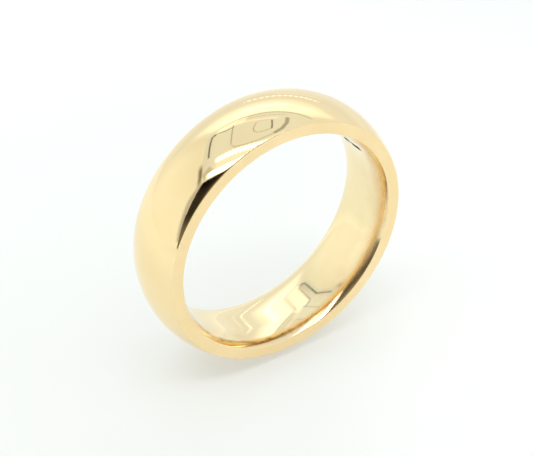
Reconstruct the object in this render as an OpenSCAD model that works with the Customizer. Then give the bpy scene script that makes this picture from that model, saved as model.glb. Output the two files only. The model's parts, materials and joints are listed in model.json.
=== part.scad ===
// Plain D-section wedding band: a domed outside, flat sides and a comfort-fit
// inside. The finger axis runs along Y, the band stands upright on its rim, and
// the origin is the middle of the finger hole. Millimetres.

/* [Fit] */
// Inside diameter, which sets the finger size
inner_d = 19; // [14:0.1:24]
// Length of the straight land in the middle of the inside wall
land_l = 1.8; // [1:0.1:2.4]

/* [Band] */
// Width of the band along the finger
band_w = 6; // [4:0.25:7]
// Thickness of the wall under the crown of the dome
wall_t = 2.25; // [2:0.05:2.6]
// How far the dome falls from its crown to the flat side
dome_drop = 0.75; // [0.4:0.05:0.8]

/* [Edges] */
// Slope that the inner easing has reached where its second arc starts
join_angle = 12.5; // [8:0.5:15]
// Slope that the inner easing has reached at the flat side
rim_angle = 31; // [25:1:35]
// Radius of the polished corner between the dome and the flat side
corner_r = 0.1; // [0.05:0.01:0.15]

/* [Hallmark] */
// Depth of the blank hallmark punched into the inside wall
mark_depth = 0.1; // [0.05:0.01:0.14]
// Length of the hallmark along the finger
mark_l = 2.2; // [1.4:0.1:2.2]
// Width of the hallmark around the finger
mark_w = 0.7; // [0.3:0.05:0.8]
// Angle of the hallmark around the hole, from +X towards +Z
mark_angle = 35; // [0:1:359]
// Place of the hallmark's middle along the finger
mark_y = -0.45; // [-0.5:0.05:0.5]

/* [Hidden] */
GOLD = [0.93, 0.76, 0.45];
ROUND_FN = 360;
CUT = 0.5;
JOIN_SHARE = 0.61;

half_w = band_w / 2;
bore_r = inner_d / 2;
crown_r = bore_r + wall_t;

// The dome is one arc over the crown and both side corners.
dome_r = (dome_drop * dome_drop + half_w * half_w) / (2 * dome_drop);
dome_c = crown_r - dome_r;

// The easing is two arcs that touch: a long one that leaves the land without a
// step, and a tighter one from there to the flat side.
land_y = land_l / 2;
ease_l = half_w - land_y;
join_y = land_y + JOIN_SHARE * ease_l;
ease_r = (join_y - land_y) / sin(join_angle);
rim_r = (half_w - join_y) / (sin(rim_angle) - sin(join_angle));
ease_c = [bore_r + ease_r, land_y];
rim_c = ease_c + (ease_r - rim_r) * [-cos(join_angle), sin(join_angle)];
ease_h = rim_c[0] - rim_r * cos(rim_angle) - bore_r;

// The corner arc touches the dome from inside, and the flat side.
corner_y = half_w - corner_r;
corner_x = dome_c + sqrt(pow(dome_r - corner_r, 2) - corner_y * corner_y);
corner_dir = [corner_x - dome_c, corner_y] / (dome_r - corner_r);

// Here x is the distance from the finger axis, and y is along the finger.
module dome_blank() {
    intersection() {
        translate([bore_r, -half_w])
            square([wall_t + CUT, band_w]);
        translate([dome_c, 0])
            circle(r = dome_r, $fn = ROUND_FN);
    }
}

module easing_cut() {
    difference() {
        translate([bore_r - CUT, land_y])
            square([ease_h + 2 * CUT, ease_l + CUT]);
        intersection() {
            translate([bore_r - CUT, 0])
                square([ease_h + 3 * CUT, join_y]);
            translate(ease_c)
                circle(r = ease_r, $fn = ROUND_FN);
        }
        translate(rim_c)
            circle(r = rim_r, $fn = ROUND_FN);
    }
}

module corner_cut() {
    far = corner_r + CUT;
    centre = [corner_x, corner_y];
    difference() {
        polygon([
            centre,
            centre + [0, far],
            centre + [far, far],
            centre + corner_dir * far
        ]);
        translate(centre)
            circle(r = corner_r, $fn = ROUND_FN);
    }
}

module wall_section() {
    difference() {
        dome_blank();
        for (side = [0, 1])
            mirror([0, side]) {
                easing_cut();
                corner_cut();
            }
    }
}

// A blank, unlettered punch: a plain bar with a small square after it.
module hallmark_punch() {
    square_l = mark_w;
    bar_l = mark_l - 1.5 * square_l;
    rotate([0, -mark_angle, 0])
        intersection() {
            rotate([90, 0, 0])
                cylinder(r = bore_r + mark_depth, h = band_w, center = true, $fn = ROUND_FN);
            translate([bore_r / 2, mark_y - mark_l / 2, -mark_w / 2]) {
                cube([bore_r, bar_l, mark_w]);
                translate([0, mark_l - square_l, 0])
                    cube([bore_r, square_l, mark_w]);
            }
        }
}

module band() {
    color(GOLD)
        difference() {
            rotate([90, 0, 0])
                rotate_extrude($fn = ROUND_FN)
                    wall_section();
            hallmark_punch();
        }
}

band();
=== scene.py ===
"""A plain comfort-fit wedding band of polished yellow gold, standing on its rim in a small light tent."""

import json
import math

import bmesh
import bpy
from mathutils import Matrix, Vector


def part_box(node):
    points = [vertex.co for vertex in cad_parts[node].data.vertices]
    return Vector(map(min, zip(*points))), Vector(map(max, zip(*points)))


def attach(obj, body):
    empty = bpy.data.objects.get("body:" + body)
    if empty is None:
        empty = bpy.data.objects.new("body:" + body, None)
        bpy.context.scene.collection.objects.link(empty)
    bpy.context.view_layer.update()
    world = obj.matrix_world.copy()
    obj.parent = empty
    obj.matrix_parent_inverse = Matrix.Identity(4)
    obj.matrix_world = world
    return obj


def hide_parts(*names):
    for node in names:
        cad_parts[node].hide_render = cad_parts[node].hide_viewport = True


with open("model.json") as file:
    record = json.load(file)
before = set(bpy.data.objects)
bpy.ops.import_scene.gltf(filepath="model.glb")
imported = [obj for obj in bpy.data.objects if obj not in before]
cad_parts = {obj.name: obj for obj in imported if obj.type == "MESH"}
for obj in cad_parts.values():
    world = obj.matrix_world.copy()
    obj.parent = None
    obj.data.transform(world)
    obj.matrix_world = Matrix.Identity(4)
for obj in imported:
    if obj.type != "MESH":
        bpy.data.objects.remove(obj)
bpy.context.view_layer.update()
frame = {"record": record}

# ---------------------------------------------------------------- sizes, in metres
MM = 0.001
MICRON = 1e-6
LOW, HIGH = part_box("band")
CROWN_R = min(-LOW[0], HIGH[0], -LOW[2], HIGH[2])
HALF_W = HIGH[1]
BORE = next(m for m in frame["record"]["mounts"] if m["name"] == "finger_bore")
BORE_R = BORE["dims"]["r_mm"] * MM
LAND_Y = BORE["dims"]["length_mm"] * MM / 2

DOME_DROP = 0.75 * MM
CORNER_R = 0.10 * MM
LIP_R = 0.08 * MM
JOIN_ANGLE = math.radians(12.5)
RIM_ANGLE = math.radians(31)
JOIN_SHARE = 0.61

JOIN_Y = LAND_Y + JOIN_SHARE * (HALF_W - LAND_Y)
EASE_R = (JOIN_Y - LAND_Y) / math.sin(JOIN_ANGLE)
RIM_R = (HALF_W - JOIN_Y) / (math.sin(RIM_ANGLE) - math.sin(JOIN_ANGLE))
EASE_C = (BORE_R + EASE_R, LAND_Y)
RIM_C = (
    EASE_C[0] - (EASE_R - RIM_R) * math.cos(JOIN_ANGLE),
    EASE_C[1] + (EASE_R - RIM_R) * math.sin(JOIN_ANGLE),
)

MARK_DEPTH = 0.10 * MM
MARK_L = 2.2 * MM
MARK_W = 0.70 * MM
MARK_ANGLE = math.radians(35)
MARK_Y = -0.45 * MM
MARK_SLOPE = 0.06 * MM

# How fine the mesh is. Its rows and turns lie closer together across the hallmark and a margin around it.
DOME_STEPS = 28
EDGE_STEPS = 8
FINE_STEP = 0.04 * MM
COARSE_ROW = 0.12 * MM
LEAST_ROW = 0.02 * MM
COARSE_TURN = math.radians(1.0)
ROW_MARGIN = 0.15 * MM
TURN_MARGIN = 0.12 * MM

# Section points closer than this to the plane of a flat side lie on it.
SAME_PLANE = 1e-9
# A face is stamped if it is pressed in by more than this share of the hallmark's depth.
STAMPED_FROM = 0.1


# ---------------------------------------------------------------- the section of the wall
# A section point is (rho, y): the distance from the finger axis, and the place along it.
def arc(centre, radius, start, end, count):
    """Points of an arc in the section, without its last one. Angles run from +rho towards +y."""
    points = []
    for i in range(count):
        a = start + (end - start) * i / count
        points.append((centre[0] + radius * math.cos(a), centre[1] + radius * math.sin(a)))
    return points


def line(a, b, count):
    """Points from a towards b, without b."""
    return [(a[0] + (b[0] - a[0]) * i / count, a[1] + (b[1] - a[1]) * i / count) for i in range(count)]


def inside_rho(y):
    """The radius of the inside wall at a place along the finger: a straight land, then two arcs that
    touch."""
    y = abs(y)
    if y <= LAND_Y:
        return BORE_R
    centre, radius = (EASE_C, EASE_R) if y < JOIN_Y else (RIM_C, RIM_R)
    return centre[0] - math.sqrt(radius**2 - (y - centre[1]) ** 2)


def inside_rows(end):
    """Where the rows of the inside wall lie, from end to -end, closer together across the hallmark."""
    rows = []
    y = end
    while y > -end + LEAST_ROW:
        rows.append(y)
        near_mark = abs(y - MARK_Y) < MARK_L / 2 + ROW_MARGIN
        y -= FINE_STEP if near_mark else COARSE_ROW
    rows.append(-end)
    return rows


def wall_section():
    """The closed outline of the wall, from the middle of the dome round by the +Y side."""
    dome_r = (DOME_DROP**2 + HALF_W**2) / (2 * DOME_DROP)
    dome_c = CROWN_R - dome_r
    corner_y = HALF_W - CORNER_R
    corner_rho = dome_c + math.sqrt((dome_r - CORNER_R) ** 2 - corner_y**2)
    dome_end = math.atan2(corner_y, corner_rho - dome_c)

    # The lip rounds the edge between the easing and the flat side, and touches both.
    lip_y = HALF_W - LIP_R
    lip_rise = math.sqrt((RIM_R - LIP_R) ** 2 - (lip_y - RIM_C[1]) ** 2)
    lip_c = (RIM_C[0] - lip_rise, lip_y)
    lip_end = math.atan2(lip_y - RIM_C[1], -lip_rise)
    rim_y = RIM_C[1] + RIM_R * math.sin(lip_end)

    half = arc((dome_c, 0), dome_r, 0, dome_end, DOME_STEPS)
    half += arc((corner_rho, corner_y), CORNER_R, dome_end, math.pi / 2, EDGE_STEPS)
    half += line((corner_rho, HALF_W), (lip_c[0], HALF_W), EDGE_STEPS)
    half += arc(lip_c, LIP_R, math.pi / 2, lip_end, EDGE_STEPS)
    wall = [(inside_rho(y), y) for y in inside_rows(rim_y)]
    mirrored = [(rho, -y) for rho, y in reversed(half[1:])]
    return half + wall + mirrored


def turn_angles():
    """The angles of the section's copies around the finger, closer together across the hallmark."""
    reach = (MARK_W / 2 + TURN_MARGIN) / BORE_R
    angles = []
    a = MARK_ANGLE - reach
    while a < MARK_ANGLE + reach:
        angles.append(a)
        a += FINE_STEP / BORE_R
    rest = 2 * math.pi - (a - angles[0])
    count = round(rest / COARSE_TURN)
    angles += [a + rest * i / count for i in range(count)]
    return angles


def stamped(along, around):
    """How far the blank hallmark is pressed in at a place on the wall, from 0 to 1. It is a plain bar with a
    small square after it, and half the square's length between them."""
    square_l = MARK_W
    bar_l = MARK_L - 1.5 * square_l
    stamps = [(-MARK_L / 2 + bar_l / 2, bar_l / 2), (MARK_L / 2 - square_l / 2, square_l / 2)]
    pressed = 0.0
    for centre, half_l in stamps:
        inset = min(half_l - abs(along - centre), MARK_W / 2 - abs(around))
        t = max(0.0, min(1.0, inset / MARK_SLOPE))
        pressed = max(pressed, t * t * (3 - 2 * t))
    return pressed


# The finishes, in the order of the band's materials.
POLISHED, SATIN, INSIDE, STAMPED = range(4)


def zone(a, b):
    """Which finish the strip between two section points has."""
    off_flat = max(abs(abs(a[1]) - HALF_W), abs(abs(b[1]) - HALF_W))
    if off_flat < SAME_PLANE:
        return SATIN
    if max(a[0], b[0]) < inside_rho(HALF_W):
        return INSIDE
    return POLISHED


def make_band():
    """The band: the section turned round the finger axis, with the hallmark pressed into its inside."""
    section = wall_section()
    angles = turn_angles()
    mark_rho = BORE_R + MARK_DEPTH
    mesh = bpy.data.meshes.new("gold_band")
    bm = bmesh.new()
    rings = []
    pressed = []
    for a in angles:
        ring = []
        depths = []
        for rho, y in section:
            depth = 0.0
            if rho < mark_rho:
                depth = stamped(y - MARK_Y, (a - MARK_ANGLE) * BORE_R)
                rho += depth * (mark_rho - rho)
            depths.append(depth)
            ring.append(bm.verts.new((rho * math.cos(a), y, rho * math.sin(a))))
        rings.append(ring)
        pressed.append(depths)
    zones = [zone(section[i], section[(i + 1) % len(section)]) for i in range(len(section))]
    for j, ring in enumerate(rings):
        after = (j + 1) % len(rings)
        for i in range(len(section)):
            k = (i + 1) % len(section)
            face = bm.faces.new((ring[i], ring[k], rings[after][k], rings[after][i]))
            depth = max(pressed[j][i], pressed[j][k], pressed[after][k], pressed[after][i])
            face.material_index = STAMPED if depth > STAMPED_FROM else zones[i]
            face.smooth = True
    bmesh.ops.recalc_face_normals(bm, faces=bm.faces)
    bm.to_mesh(mesh)
    bm.free()
    band = bpy.data.objects.new("gold_band", mesh)
    bpy.context.collection.objects.link(band)
    return band


# ---------------------------------------------------------------- gold
GOLD = (0.975, 0.787, 0.458)
# The next two colours are the same gold as the one above, made paler and brighter: painted light.
INSIDE_LIT_GOLD = (0.975, 0.82, 0.505)
SATIN_LIT_GOLD = (1.0, 0.80, 0.47)
# The next colour darkens the hallmark's pressed-in faces nearly to black: partly residue in the stamp, partly
# painted shade in the recess.
STAMPED_GOLD = (0.05, 0.04, 0.03)
# The next two colours paint light on the inside wall: a brownish reflection of the band's own gold, and a
# dark line of shade in it.
MIRRORED_GOLD = (0.88, 0.65, 0.37)
PAINTED_LINE = (0.26, 0.15, 0.07)
DEEPER = (0.985, 0.965, 0.93)

# The places of a Mix node's colour sockets.
COLOUR_A = 6
COLOUR_B = 7
COLOUR_OUT = 2


class Nodes:
    """A short way to build a material's node tree."""

    def __init__(self, name):
        self.material = bpy.data.materials.new(name)
        self.material.use_nodes = True
        self.tree = self.material.node_tree
        self.tree.nodes.clear()

    def add(self, kind, inputs=None, **settings):
        node = self.tree.nodes.new(kind)
        for key, value in settings.items():
            setattr(node, key, value)
        for key, value in (inputs or {}).items():
            if isinstance(value, bpy.types.NodeSocket):
                self.tree.links.new(value, node.inputs[key])
            else:
                node.inputs[key].default_value = value
        return node

    def math(self, operation, a, b=0.0):
        return self.add("ShaderNodeMath", {0: a, 1: b}, operation=operation).outputs[0]

    def noise(self, vector, scale, detail=2.0, roughness=0.5):
        inputs = {"Vector": vector, "Scale": scale, "Detail": detail, "Roughness": roughness}
        return self.add("ShaderNodeTexNoise", inputs).outputs["Fac"]

    def stretch(self, vector, scale):
        return self.add("ShaderNodeVectorMath", {0: vector, 1: scale}, operation="MULTIPLY").outputs[0]

    def mix(self, factor, first, second):
        inputs = {"Factor": factor, COLOUR_A: first, COLOUR_B: second}
        return self.add("ShaderNodeMix", inputs, data_type="RGBA").outputs[COLOUR_OUT]

    def ramp(self, value, low, high, to_low, to_high, kind="LINEAR"):
        """Takes low to to_low and high to to_high, and holds the ends."""
        inputs = {"Value": value, 1: low, 2: high, 3: to_low, 4: to_high}
        return self.add("ShaderNodeMapRange", inputs, clamp=True, interpolation_type=kind).outputs[0]


def gold_surface(name, base, roughness, spread, lines_um, grain_um, wave_um, own_reflection=False):
    """Yellow gold. The lines run round the finger, as a lathe or a polishing wheel leaves them. spread is how
    far the roughness varies, and lines_um, grain_um and wave_um are the heights of the lines, of the fine
    grain and of the slow waviness."""
    n = Nodes(name)
    place = n.add("ShaderNodeTexCoord").outputs["Object"]
    x, y, z = n.add("ShaderNodeSeparateXYZ", {0: place}).outputs
    rho = n.math("SQRT", n.math("ADD", n.math("MULTIPLY", x, x), n.math("MULTIPLY", z, z)))
    to_right = n.math("DIVIDE", x, rho)
    to_top = n.math("DIVIDE", z, rho)
    across = n.math("MULTIPLY", n.math("ADD", rho, y), 1 / MM)
    turned = n.add("ShaderNodeCombineXYZ", {0: to_right, 1: to_top, 2: across}).outputs[0]
    long_lines = n.noise(n.stretch(turned, (3.0, 3.0, 22.0)), 1.0, 3.0)
    fine_lines = n.noise(n.stretch(turned, (9.0, 9.0, 60.0)), 1.0, 2.0)
    lines = n.math("ADD", long_lines, fine_lines)
    grain = n.noise(place, 9.0 / MM, 3.0, 0.6)
    wave = n.noise(place, 0.35 / MM, 1.0)

    height = n.math("MULTIPLY", lines, lines_um)
    height = n.math("ADD", height, n.math("MULTIPLY", grain, grain_um))
    height = n.math("ADD", height, n.math("MULTIPLY", wave, wave_um))
    bump = n.add("ShaderNodeBump", {"Strength": 1.0, "Distance": MICRON, "Height": height})

    wear = n.noise(place, 0.8 / MM, 4.0, 0.6)
    rough = n.ramp(wear, 0.3, 0.7, roughness - spread, roughness + spread)
    tint = n.ramp(n.noise(place, 0.25 / MM, 3.0), 0.35, 0.65, 0.0, 1.0)
    deep = tuple(c * k for c, k in zip(base, DEEPER))
    colour = n.mix(tint, (*base, 1.0), (*deep, 1.0))
    # The inside wall gets a painted reflection of the band's own gold and painted shade.
    if own_reflection:
        colour, rough = paint_own_reflection(n, place, turned, y, to_right, colour, rough)
    shader = n.add(
        "ShaderNodeBsdfPrincipled",
        {"Base Color": colour, "Metallic": 1.0, "Roughness": rough, "Normal": bump.outputs[0]},
    )
    n.add("ShaderNodeOutputMaterial", {0: shader.outputs[0]})
    return n.material


def paint_own_reflection(n, place, turned, y, to_right, colour, rough):
    """Paints a brownish reflection of the band's own gold towards the -Y side of the inside wall, with a
    dark, ragged line of painted shade in it, and soft smudges of painted shade. side, edge and creep are
    distances from the middle towards that side, in millimetres."""
    side = n.math("MULTIPLY", y, -1 / MM)
    ragged = n.noise(n.stretch(turned, (4.0, 4.0, 1.5)), 1.0, 4.0, 0.65)
    specks = n.noise(n.stretch(turned, (11.0, 11.0, 5.0)), 1.0, 5.0, 0.7)
    patchy = n.noise(place, 0.45 / MM, 3.0, 0.6)
    slow = n.noise(place, 0.22 / MM, 1.0)
    edge = n.math("ADD", side, n.ramp(ragged, 0.3, 0.7, -0.16, 0.16))
    creep = n.math("ADD", edge, n.ramp(slow, 0.35, 0.65, -0.25, 0.25))

    # The orange band is a painted reflection of the band's own gold.
    start = n.ramp(to_right, 0.2, 0.8, 1.75, 0.9)
    rise = n.ramp(creep, start, 2.4, 0.0, 1.0, "SMOOTHSTEP")
    fall = n.ramp(edge, 2.6, 3.0, 1.0, 0.3, "SMOOTHSTEP")
    strip = n.math("MULTIPLY", n.math("MULTIPLY", rise, fall), 0.8)
    towards_side = n.ramp(side, -0.5, 2.0, 0.0, 1.0)
    # Soft smudges of painted shade, more towards the -Y side.
    soft_shade = n.math("MULTIPLY", n.ramp(patchy, 0.42, 0.66, 0.0, 0.5), towards_side)
    mirrored_tint = n.math("MAXIMUM", strip, soft_shade)
    colour = n.mix(mirrored_tint, colour, (*MIRRORED_GOLD, 1.0))

    # A dark, ragged line of painted shade in the painted reflection, fainter to the right.
    line_in = n.ramp(edge, 2.30, 2.44, 0.0, 1.0, "SMOOTHSTEP")
    line_out = n.ramp(edge, 2.50, 2.72, 1.0, 0.0, "SMOOTHSTEP")
    speckled = n.ramp(specks, 0.36, 0.62, 0.0, 0.75)
    painted_line = n.math("MULTIPLY", n.math("MULTIPLY", line_in, line_out), speckled)
    painted_line = n.math("MULTIPLY", painted_line, n.ramp(to_right, 0.35, 0.8, 1.0, 0.2))
    colour = n.mix(painted_line, colour, (*PAINTED_LINE, 1.0))

    dulled = n.math("MULTIPLY", mirrored_tint, n.ramp(to_right, 0.60, 0.85, 0.08, 0.30))
    return colour, n.math("ADD", rough, dulled)


def gold_finishes():
    """The band's materials, in the order of POLISHED, SATIN, INSIDE and STAMPED."""
    return [
        gold_surface(
            "polished_gold", GOLD, roughness=0.05, spread=0.015, lines_um=0.03, grain_um=0.01, wave_um=1.0
        ),
        gold_surface(
            "satin_gold", SATIN_LIT_GOLD, roughness=0.42, spread=0.04, lines_um=0.12, grain_um=0.1, wave_um=0.5
        ),
        gold_surface(
            "inside_gold",
            INSIDE_LIT_GOLD,
            roughness=0.08,
            spread=0.02,
            lines_um=0.04,
            grain_um=0.02,
            wave_um=1.2,
            own_reflection=True,
        ),
        gold_surface(
            "stamped_gold", STAMPED_GOLD, roughness=0.5, spread=0.05, lines_um=0.1, grain_um=0.5, wave_um=0.5
        ),
    ]


# ---------------------------------------------------------------- camera and light tent, sizes
CAMERA_AZ = math.radians(-33.7)
CAMERA_EL = math.radians(36.7)
CAMERA_DISTANCE = 10.95 * CROWN_R
LENS_MM = 106.5
SENSOR_MM = 36.0
SHIFT_X = -0.0046
SHIFT_Y = -0.0045
CLIP_START = 0.005

# The tent is laid out as the camera sees it: right, back and up from the middle of the band, in tent heights.
RIGHT = Vector((math.cos(CAMERA_AZ), math.sin(CAMERA_AZ), 0))
BACK = Vector((-math.sin(CAMERA_AZ), math.cos(CAMERA_AZ), 0))
UP = Vector((0, 0, 1))
TENT_H = 0.18
TENT = Matrix((RIGHT, BACK, UP)).transposed().to_4x4() @ Matrix.Scale(TENT_H, 4)
FLOOR_Z = -CROWN_R

WALL_X = 0.86
BACK_Y = 0.80
CEILING = 1.0
FLOOR = FLOOR_Z / TENT_H
FRONT_Y = -0.50
FRONT_RIGHT = -0.40
FRONT_BEND = 0.55
FRONT_FOOT = -0.70

# The axes of the tent, for fades.
ALONG_RIGHT = 0
ALONG_BACK = 1
ALONG_UP = 2

WHITE = (1.0, 1.0, 1.0)
LEAST_SWELL = 0.01


# ---------------------------------------------------------------- light tent
def tent_piece(name, points, faces, material, uvs=None):
    """A card of the tent, given in tent heights. The camera doesn't see it."""
    mesh = bpy.data.meshes.new(name)
    mesh.from_pydata(points, [], faces)
    if uvs:
        layer = mesh.uv_layers.new(name="across")
        for loop in mesh.loops:
            layer.data[loop.index].uv = uvs[loop.vertex_index]
    mesh.materials.append(material)
    card = bpy.data.objects.new(name, mesh)
    card.matrix_world = TENT
    card.visible_camera = False
    bpy.context.collection.objects.link(card)


def glow(name, radiance, tint=WHITE, fades=()):
    """An even glow. Each fade is (axis, start, end, factor): the glow changes by the factor along the axis,
    from start to end."""
    n = Nodes(name)
    place = n.add("ShaderNodeSeparateXYZ", {0: n.add("ShaderNodeTexCoord").outputs["Object"]})
    strength = radiance
    for axis, start, end, factor in fades:
        step = n.ramp(place.outputs[axis], start, end, 1.0, factor, "SMOOTHSTEP")
        strength = n.math("MULTIPLY", strength, step)
    shader = n.add("ShaderNodeEmission", {"Color": (*tint, 1.0), "Strength": strength})
    n.add("ShaderNodeOutputMaterial", {0: shader.outputs[0]})
    return n.material


def panel(name, outline, material):
    """A flat card of the tent."""
    tent_piece(name, outline, [list(range(len(outline)))], material)


def soft_glow(name, radiance, opacity=1.0, edge=0.5, ends=0.1, beads=0, gaps=0.0, tint=WHITE):
    """A glow that fades out towards the edges and ends of a stroke. Its UV runs 0 to 1 along the stroke and
    -1 to 1 across it. With beads, the stroke swells once for each bead, and gaps is how far it narrows."""
    n = Nodes(name)
    uv = n.add("ShaderNodeSeparateXYZ", {0: n.add("ShaderNodeTexCoord").outputs["UV"]})
    along = uv.outputs[0]
    across = n.math("ABSOLUTE", uv.outputs[1])
    if beads:
        wave = n.math("COSINE", n.math("MULTIPLY", along, 2 * math.pi * beads))
        swell = n.ramp(wave, -1.0, 1.0, 1.0 + LEAST_SWELL - gaps, 1.0)
        across = n.math("DIVIDE", across, swell)
    fade = n.ramp(across, 1.0 - edge, 1.0, opacity, 0.0, "SMOOTHSTEP")
    to_end = n.math("MINIMUM", along, n.math("SUBTRACT", 1.0, along))
    fade = n.math("MULTIPLY", fade, n.ramp(to_end, 0.0, ends, 0.0, 1.0, "SMOOTHSTEP"))
    shine = n.add("ShaderNodeEmission", {"Color": (*tint, 1.0), "Strength": radiance})
    clear = n.add("ShaderNodeBsdfTransparent")
    mixed = n.add("ShaderNodeMixShader", {0: fade, 1: clear.outputs[0], 2: shine.outputs[0]})
    n.add("ShaderNodeOutputMaterial", {0: mixed.outputs[0]})
    return n.material


def on_wall(wall, level, u, v):
    """A point of a wall of the tent, moved in by level. (u, v) is (right, back) on the ceiling, (right, up)
    on the back wall and (back, up) on the left wall."""
    if wall == "ceiling":
        return (u, v, CEILING - level)
    if wall == "back":
        return (u, BACK_Y - level, v)
    return (-WALL_X + level, u, v)


def stroke(name, wall, width, level, material, path):
    """A soft strip along a path of (u, v) points. Strips that cross differ in level, so that they don't share
    a plane."""
    lengths = [0.0]
    for a, b in zip(path, path[1:]):
        lengths.append(lengths[-1] + math.dist(a, b))
    points = []
    uvs = []
    for i, (u, v) in enumerate(path):
        before = path[max(i - 1, 0)]
        after = path[min(i + 1, len(path) - 1)]
        run = math.dist(before, after)
        out_u = (after[1] - before[1]) / run * width / 2
        out_v = -(after[0] - before[0]) / run * width / 2
        for side in (1, -1):
            points.append(on_wall(wall, level, u + side * out_u, v + side * out_v))
            uvs.append((lengths[i] / lengths[-1], side))
    faces = [(2 * i, 2 * i + 1, 2 * i + 3, 2 * i + 2) for i in range(len(path) - 1)]
    tent_piece(name, points, faces, material, uvs)


def tent_walls():
    """Pale walls and ceiling, and a front that is dark at its left and top, where the tent opens."""
    left = -WALL_X
    right = WALL_X
    side = [
        (FRONT_Y, CEILING),
        (FRONT_Y, FRONT_BEND),
        (FRONT_FOOT, FLOOR),
        (BACK_Y, FLOOR),
        (BACK_Y, CEILING),
    ]
    left_fades = [(ALONG_UP, 0.2, 1.0, 0.91), (ALONG_BACK, 0.35, 0.8, 0.92)]
    panel("tent_left", [(left, y, z) for y, z in side], glow("tent_left", 1.03, (1.0, 1.03, 1.0), left_fades))
    panel("tent_right", [(right, y, z) for y, z in side], glow("tent_right", 0.93))

    back = [
        (left, BACK_Y, FLOOR),
        (right, BACK_Y, FLOOR),
        (right, BACK_Y, CEILING),
        (left, BACK_Y, CEILING),
    ]
    back_fades = [(ALONG_UP, 0.0, 0.2, 0.93), (ALONG_UP, 0.2, 0.45, 1.05)]
    panel("tent_back", back, glow("tent_back", 0.96, (0.98, 1.02, 1.04), back_fades))

    ceiling = [
        (left, FRONT_Y, CEILING),
        (right, FRONT_RIGHT, CEILING),
        (right, BACK_Y, CEILING),
        (left, BACK_Y, CEILING),
    ]
    ceiling_fades = [(ALONG_RIGHT, -0.55, -0.85, 0.92)]
    panel("tent_ceiling", ceiling, glow("tent_ceiling", 0.91, (0.97, 1.04, 1.08), ceiling_fades))

    front = [
        (left, FRONT_Y, CEILING),
        (right, FRONT_RIGHT, CEILING),
        (right, FRONT_FOOT, FLOOR),
        (left, FRONT_FOOT, FLOOR),
    ]
    front_fades = [(ALONG_RIGHT, -0.62, 0.0, 13.0), (ALONG_UP, 0.6, 0.95, 0.12)]
    panel("tent_front", front, glow("tent_dark", 0.035, (1.0, 0.86, 0.68), front_fades))

    # A dim card that stands in the lower left of the opening.
    foot_y = FRONT_FOOT + 0.02
    top_y = FRONT_FOOT + 0.1
    card_top = 0.4
    front_low = [
        (left, foot_y, FLOOR),
        (-0.36, foot_y, FLOOR),
        (-0.62, top_y, card_top),
        (left, top_y, card_top),
    ]
    low_fades = [(ALONG_UP, 0.08, card_top, 0.18)]
    panel("tent_front_low", front_low, glow("tent_front_low", 0.20, (1.0, 0.88, 0.70), low_fades))


def back_light():
    """The brighter field on the back wall, and below it a row of small lamps with a dim echo."""
    wide = soft_glow("back_wide", 1.2, edge=0.5, ends=0.1)
    core = soft_glow("back_core", 1.45, edge=0.4, ends=0.2)
    middle = soft_glow("back_middle", 1.8, edge=0.9, ends=0.35)
    beads = soft_glow("back_beads", 3.0, opacity=0.9, edge=0.9, ends=0.01, beads=14, gaps=1.0)
    echo = soft_glow("back_echo", 1.3, opacity=0.7, edge=0.9, ends=0.1)
    wide_path = [(-0.80, 0.68), (-0.35, 0.66), (0.10, 0.68), (0.50, 0.76), (0.90, 0.82)]
    stroke("back_wide", "back", 0.62, 0.004, wide, wide_path)
    stroke("back_core", "back", 0.42, 0.008, core, [(-0.76, 0.74), (0.0, 0.77), (0.76, 0.84)])
    stroke("back_middle", "back", 0.2, 0.010, middle, [(-0.42, 0.62), (0.0, 0.635), (0.32, 0.66)])
    stroke("back_beads", "back", 0.028, 0.012, beads, [(-0.175, 0.255), (0.06, 0.265), (0.32, 0.285)])
    stroke("back_echo", "back", 0.03, 0.012, echo, [(-0.02, 0.155), (0.30, 0.165)])


def ceiling_lamps():
    """A beaded row of lamps with a halo, a smooth row in front of it, and the light that both spill."""
    spill = soft_glow("lamp_spill", 1.15, opacity=0.85, edge=0.9, ends=0.08)
    halo = soft_glow("lamp_halo", 1.3, opacity=0.9, edge=0.6, ends=0.03, tint=(1.03, 1.0, 1.05))
    lamp_a = soft_glow("lamp_a", 4.5, edge=0.8, ends=0.015, beads=20, gaps=0.8)
    lamp_b = soft_glow("lamp_b", 6.0, edge=0.7, ends=0.16)
    dim_b = soft_glow("lamp_b_end", 0.62, edge=0.5, ends=0.2)
    stroke("lamp_spill", "ceiling", 0.36, 0.002, spill, [(-0.60, -0.255), (0.60, -0.24)])
    stroke("lamp_halo", "ceiling", 0.17, 0.004, halo, [(-0.57, -0.125), (0.60, -0.10)])
    stroke("lamp_a", "ceiling", 0.155, 0.006, lamp_a, [(-0.56, -0.125), (0.60, -0.10)])
    stroke("lamp_b", "ceiling", 0.155, 0.004, lamp_b, [(-0.80, -0.40), (-0.40, -0.385), (0.60, -0.34)])
    stroke("lamp_b_end", "ceiling", 0.20, 0.003, dim_b, [(-0.86, -0.40), (-0.62, -0.22)])


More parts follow.
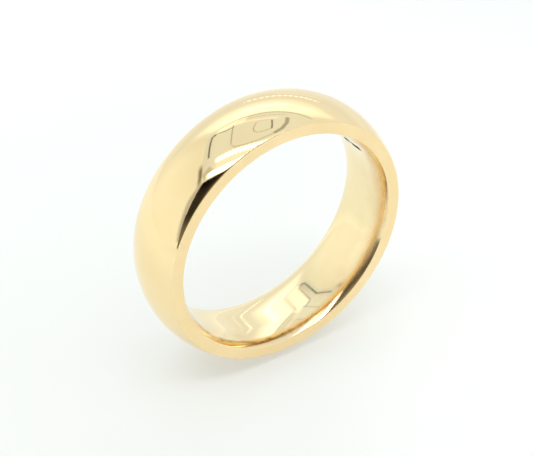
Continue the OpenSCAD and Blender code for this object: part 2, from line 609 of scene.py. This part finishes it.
def ceiling_seams():
    """The seams, folds and hatch of the ceiling, and the bright patch in its far left corner."""
    dark = soft_glow("seam_dark", 0.12, opacity=0.95, edge=0.6, ends=0.03)
    mid = soft_glow("seam_mid", 0.42, opacity=0.95, edge=0.6, ends=0.05)
    faint = soft_glow("seam_faint", 0.62, opacity=0.8, edge=0.8, ends=0.08)
    crease = soft_glow("seam_crease", 0.95, opacity=0.8, edge=0.8, ends=0.08)
    light = soft_glow("seam_light", 1.15, opacity=0.9, edge=0.7, ends=0.15)
    knot = soft_glow("seam_knot", 0.15, opacity=0.9, edge=1.0, ends=0.4)
    bright = soft_glow("corner_bright", 1.33, opacity=0.95, edge=0.4, ends=0.12)
    # Each row is (name, width, level, material, path).
    seams = [
        ("seam_left", 0.055, 0.010, dark, [(-0.70, 0.68), (-0.755, 0.65), (-0.75, 0.50), (-0.715, 0.03)]),
        ("seam_inner", 0.022, 0.010, mid, [(-0.40, 0.66), (-0.37, 0.40), (-0.325, 0.05)]),
        (
            "seam_flap",
            0.05,
            0.008,
            faint,
            [(-0.33, 0.06), (-0.25, -0.015), (-0.10, -0.035), (0.05, -0.01), (0.20, 0.07), (0.30, 0.16)],
        ),
        ("seam_flap_side", 0.085, 0.009, mid, [(0.24, 0.10), (0.33, 0.22), (0.365, 0.38), (0.345, 0.56)]),
        ("hatch_left", 0.018, 0.010, mid, [(-0.055, 0.45), (-0.07, 0.30), (-0.04, 0.205), (0.02, 0.165)]),
        ("hatch_front", 0.018, 0.010, mid, [(0.015, 0.165), (0.10, 0.185), (0.18, 0.225)]),
        ("hatch_right", 0.03, 0.011, dark, [(0.185, 0.215), (0.165, 0.34), (0.14, 0.465)]),
        ("hatch_back", 0.014, 0.010, faint, [(0.145, 0.475), (0.04, 0.475), (-0.055, 0.455)]),
        (
            "fold_light",
            0.07,
            0.009,
            light,
            [(-0.36, 0.57), (-0.22, 0.585), (-0.05, 0.545), (0.10, 0.53), (0.27, 0.545)],
        ),
        (
            "fold_dark",
            0.03,
            0.009,
            faint,
            [(-0.42, 0.70), (-0.20, 0.70), (0.0, 0.66), (0.20, 0.65), (0.36, 0.66)],
        ),
        (
            "back_seam",
            0.03,
            0.012,
            mid,
            [(-0.38, 0.79), (-0.30, 0.785), (0.10, 0.77), (0.45, 0.75), (0.80, 0.68)],
        ),
        ("back_seam_left", 0.022, 0.012, crease, [(-0.74, 0.77), (-0.55, 0.785), (-0.34, 0.79)]),
        ("corner_shade", 0.05, 0.011, mid, [(-0.76, 0.66), (-0.64, 0.645), (-0.50, 0.56), (-0.36, 0.55)]),
        ("seam_knot", 0.10, 0.013, knot, [(-0.78, 0.64), (-0.64, 0.63)]),
        ("corner_bright", 0.24, 0.005, bright, [(-0.72, 0.72), (-0.45, 0.71), (-0.20, 0.70)]),
    ]
    for name, width, level, material, path in seams:
        stroke(name, "ceiling", width, level, material, path)


def wall_shades():
    """Dark strips on the left wall: a gap near its top, and the hem along its front edge."""
    gap = soft_glow("wall_gap", 0.2, opacity=0.95, edge=0.95, ends=0.35, tint=(1.0, 0.9, 0.75))
    hem = soft_glow("wall_hem", 0.5, opacity=0.9, edge=0.95, ends=0.06)
    stroke("wall_gap", "left", 0.22, 0.004, gap, [(-0.54, 0.80), (-0.44, 0.86), (-0.28, 0.92), (0.06, 0.96)])
    stroke("wall_hem", "left", 0.24, 0.006, hem, [(-0.50, 0.98), (-0.51, 0.55), (-0.68, 0.0)])


# ---------------------------------------------------------------- floor, world and camera
FLOOR_HALF = 2.0
PAPER = (0.50, 0.516, 0.506)
PAPER_GLOW = (0.965, 1.0, 0.985)
PAPER_ROUGHNESS = 0.9

FILL_W = 0.25
FILL_SIZE = 1.4 * TENT_H
FILL_PLACE = RIGHT * -0.1 * TENT_H + BACK * -0.35 * TENT_H + UP * 0.95 * TENT_H


def make_floor():
    """Paper that glows a little, which is painted light, and more away from the band, which leaves painted
    shade round it. To the right of the band the painted light is lifted close by and falls further out."""
    n = Nodes("floor_paper")
    place = n.add("ShaderNodeTexCoord").outputs["Object"]
    away = n.add("ShaderNodeVectorMath", {0: place}, operation="LENGTH").outputs["Value"]
    to_right = n.add("ShaderNodeVectorMath", {0: place, 1: RIGHT}, operation="DOT_PRODUCT").outputs["Value"]
    # Painted light on the paper, weaker close to the band as painted shade, and lifted to its right.
    painted_glow = n.ramp(away, 0.13 * TENT_H, 0.38 * TENT_H, 0.43, 0.52, "SMOOTHSTEP")
    right_lift = n.ramp(to_right, 0.01 * TENT_H, 0.08 * TENT_H, 0.0, 0.06, "SMOOTHSTEP")
    right_fall = n.ramp(away, 0.18 * TENT_H, 0.45 * TENT_H, 1.0, -1.8, "SMOOTHSTEP")
    painted_glow = n.math("ADD", painted_glow, n.math("MULTIPLY", right_lift, right_fall))
    shader = n.add(
        "ShaderNodeBsdfPrincipled",
        {
            "Base Color": (*PAPER, 1.0),
            "Roughness": PAPER_ROUGHNESS,
            "Emission Color": (*PAPER_GLOW, 1.0),
            "Emission Strength": painted_glow,
        },
    )
    n.add("ShaderNodeOutputMaterial", {0: shader.outputs[0]})
    mesh = bpy.data.meshes.new("floor")
    corners = [(x * FLOOR_HALF, y * FLOOR_HALF, FLOOR_Z) for x, y in ((-1, -1), (1, -1), (1, 1), (-1, 1))]
    mesh.from_pydata(corners, [], [[0, 1, 2, 3]])
    mesh.materials.append(n.material)
    floor = bpy.data.objects.new("floor", mesh)
    bpy.context.collection.objects.link(floor)


def make_fill():
    """A broad, soft light from above the front, which lights the floor and isn't mirrored in the gold."""
    data = bpy.data.lights.new("fill", "AREA")
    data.size = FILL_SIZE
    data.energy = FILL_W
    fill = bpy.data.objects.new("fill", data)
    fill.location = FILL_PLACE
    fill.rotation_euler = FILL_PLACE.to_track_quat("Z", "Y").to_euler()
    fill.visible_glossy = False
    fill.visible_camera = False
    bpy.context.collection.objects.link(fill)


def make_world():
    """An even white surround."""
    world = bpy.data.worlds.new("studio")
    world.use_nodes = True
    background = world.node_tree.nodes["Background"]
    background.inputs["Color"].default_value = (*WHITE, 1.0)
    background.inputs["Strength"].default_value = 1.0
    bpy.context.scene.world = world


def make_camera():
    """A long lens in front of the band, above it and to its left, aimed at its middle."""
    data = bpy.data.cameras.new("camera")
    data.sensor_width = SENSOR_MM
    data.lens = LENS_MM
    data.shift_x = SHIFT_X
    data.shift_y = SHIFT_Y
    data.clip_start = CLIP_START
    camera = bpy.data.objects.new("camera", data)
    away = BACK * -math.cos(CAMERA_EL) + UP * math.sin(CAMERA_EL)
    camera.location = away * CAMERA_DISTANCE
    camera.rotation_euler = away.to_track_quat("Z", "Y").to_euler()
    bpy.context.collection.objects.link(camera)
    bpy.context.scene.camera = camera


make_camera()
make_world()
make_fill()
make_floor()
tent_walls()
back_light()
ceiling_lamps()
ceiling_seams()
wall_shades()

band = make_band()
for finish in gold_finishes():
    band.data.materials.append(finish)
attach(band, "root")
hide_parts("band")

bpy.context.scene.view_settings.view_transform = "Standard"
